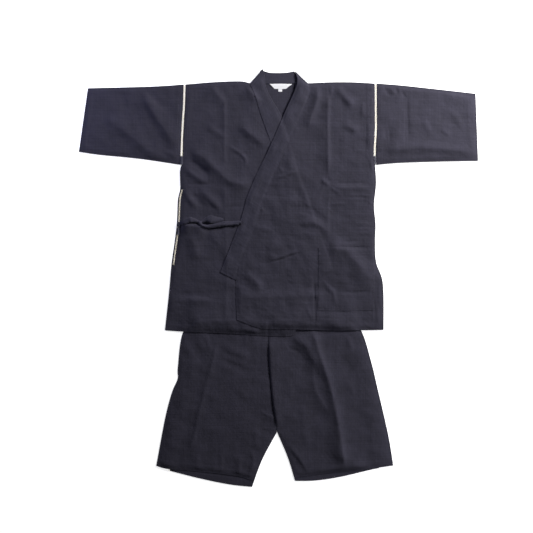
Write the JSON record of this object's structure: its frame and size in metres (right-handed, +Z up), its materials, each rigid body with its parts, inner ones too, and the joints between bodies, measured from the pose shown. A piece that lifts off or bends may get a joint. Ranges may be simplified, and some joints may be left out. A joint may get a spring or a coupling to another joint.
{
  "type": "jinbei set laid flat",
  "caption": "Lapped short-sleeved jinbei jacket laid flat over its matching knee-length shorts, navy cotton with cream open lacing and a side tie.",
  "frame": {"origin": "centre of the whole set's footprint, on the surface it lies on", "axes": "+Z up from the surface; +Y from the shorts' hems to the collar; +X to the wearer's left"},
  "size_m": [1.197, 1.2556, 0.0133],
  "materials": {
    "navy_cotton": "matt slub cotton, dark indigo navy",
    "navy_band": "matt slub cotton folded double, dark indigo navy",
    "cream_lacing": "matt cotton cord lacing, cream",
    "label_white": "woven satin label, off-white, bare"
  },
  "bodies": {
    "root": {"jacket_body_left": "navy_cotton", "jacket_body_right": "navy_cotton", "okumi_over": "navy_cotton", "okumi_under": "navy_cotton", "sleeve_left": "navy_cotton", "sleeve_right": "navy_cotton", "collar_over": "navy_band", "collar_back": "navy_band", "collar_under": "navy_band", "pocket": "navy_cotton", "lacing_armhole_left": "cream_lacing", "lacing_armhole_right": "cream_lacing", "lacing_side_left": "cream_lacing", "lacing_side_right": "cream_lacing", "tie_front": "navy_band", "tie_front_loop": "navy_band", "tie_side": "navy_band", "tie_side_loop": "navy_band", "tie_knot": "navy_band", "neck_label": "label_white", "size_tab": "label_white", "leg_front_left": "navy_cotton", "leg_front_right": "navy_cotton", "leg_back_left": "navy_cotton", "leg_back_right": "navy_cotton", "leg_lacing_left": "cream_lacing", "leg_lacing_right": "cream_lacing", "waistband": "navy_band"}
  },
  "joints": []
}
